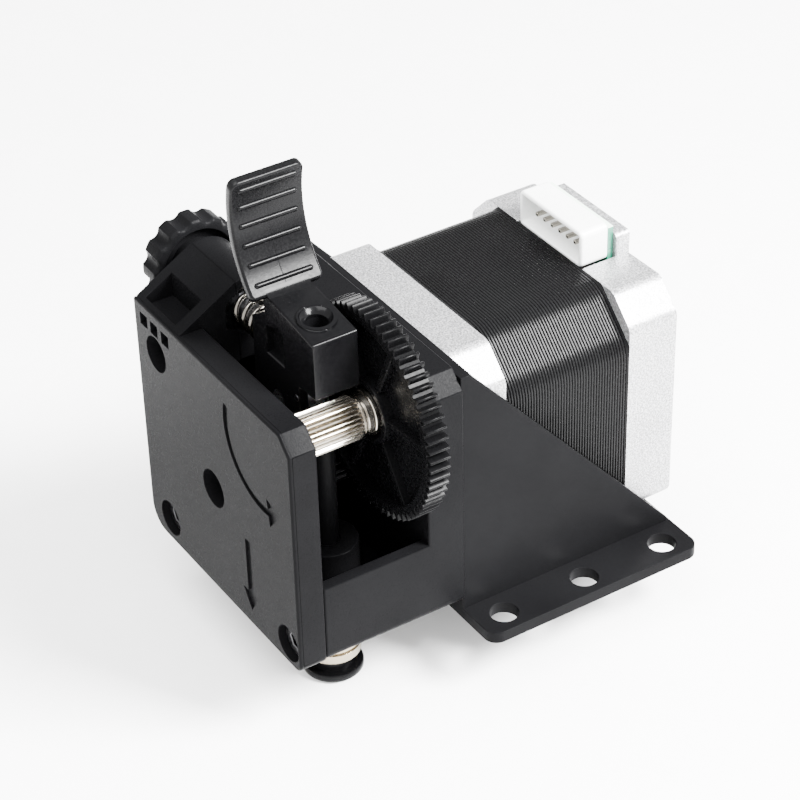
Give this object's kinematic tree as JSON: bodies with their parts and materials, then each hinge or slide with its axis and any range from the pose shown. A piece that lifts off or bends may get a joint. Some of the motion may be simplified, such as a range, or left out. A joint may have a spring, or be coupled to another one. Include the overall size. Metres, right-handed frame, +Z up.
{
  "type": "geared filament extruder",
  "caption": "Geared filament drive: square stepper motor on a foot bracket, pinion and large gear, toothed hob, sprung idler arm with thumb pad, tension knob and push-in tube outlet.",
  "frame": {"origin": "centre of the six foot holes, on the underside of the bracket's foot", "axes": "+Z up, away from the foot; -Y towards the cover, +Y towards the motor's rear end; +X towards the side where the gear shows"},
  "size_m": [0.0631, 0.0699, 0.0827],
  "materials": {
    "black_moulding": "fine spark texture, satin",
    "black_gloss_moulding": "smooth",
    "black_steel": "satin black coating",
    "steel": "turned",
    "nickel": "bright nickel plate",
    "cast_aluminium": "blasted cast surface",
    "laminations": "stacked sheet edges",
    "copper": "enamelled wire",
    "magnet": "ground",
    "white_nylon": "translucent",
    "board": "solder mask",
    "plated_brass": "plated"
  },
  "bodies": {
    "frame": {"mounting_bracket": "black_steel", "body_housing": "black_moulding", "front_cover": "black_moulding", "filament_guide": "black_moulding", "outlet_fitting": "plated_brass", "cover_screws": "steel", "housing_screws": "steel", "hob_front_bearing": "steel", "hob_rear_bearing": "steel", "tension_spring": "nickel", "motor_front_cap": "cast_aluminium", "stator_stack": "laminations", "stator_coils": "copper", "motor_rear_cap": "cast_aluminium", "motor_front_bearing": "steel", "motor_rear_bearing": "steel", "preload_washer": "steel", "motor_screws": "steel", "motor_circuit_board": "board", "motor_connector": "white_nylon", "connector_pins": "plated_brass"},
    "rotor": {"motor_shaft": "steel", "rotor_front_cup": "steel", "rotor_magnet": "magnet", "rotor_rear_cup": "steel", "pinion_gear": "steel", "pinion_grub_screw": "steel"},
    "drive": {"hob_shaft": "nickel", "driven_gear": "black_moulding"},
    "idler": {"idler_arm": "black_gloss_moulding", "idler_axle": "steel", "cheek_pin": "steel"},
    "idler_roller": {"idler_bearing": "steel"},
    "knob": {"tension_knob": "black_moulding", "tension_screw": "steel", "thrust_ring": "steel"},
    "nut": {"tension_nut": "steel"},
    "collet": {"release_collet": "black_gloss_moulding"}
  },
  "joints": [
    {"name": "rotor_spin", "type": "hinge", "parent": "frame", "child": "rotor", "pos_m": [0, -0.018, 0.0233], "axis": [0, 1, 0], "continuous": true},
    {"name": "drive_spin", "type": "hinge", "parent": "frame", "child": "drive", "pos_m": [0.01528, -0.0362, 0.03913], "axis": [0, 1, 0], "continuous": true},
    {"name": "idler_pivot", "type": "hinge", "parent": "frame", "child": "idler", "pos_m": [0, -0.0362, 0.0233], "axis": [0, -1, 0], "range_deg": [0, 10], "stiffness_Nm_per_rad": 1.2, "springref_deg": -6.88, "deforming": ["tension_spring"]},
    {"name": "idler_bearing_spin", "type": "hinge", "parent": "idler", "child": "idler_roller", "pos_m": [0.00523, -0.0362, 0.03913], "axis": [0, 1, 0], "continuous": true},
    {"name": "tension_knob_turn", "type": "hinge", "parent": "frame", "child": "knob", "pos_m": [-0.02, -0.0366, 0.0462], "axis": [-1, 0, 0], "range_deg": [-1440, 1440]},
    {"name": "tension_nut_slide", "type": "slide", "parent": "frame", "child": "nut", "axis": [1, 0, 0], "range_m": [-0.00199, 0.00199]},
    {"name": "collet_press", "type": "slide", "parent": "frame", "child": "collet", "axis": [0, 0, 1], "range_m": [0, 0.0008]}
  ],
  "couplings": [
    {"joint": "drive_spin", "follows": "rotor_spin", "ratio": -0.33333},
    {"joint": "tension_knob_turn", "follows": "tension_nut_slide", "rad_per_m": 12566}
  ]
}
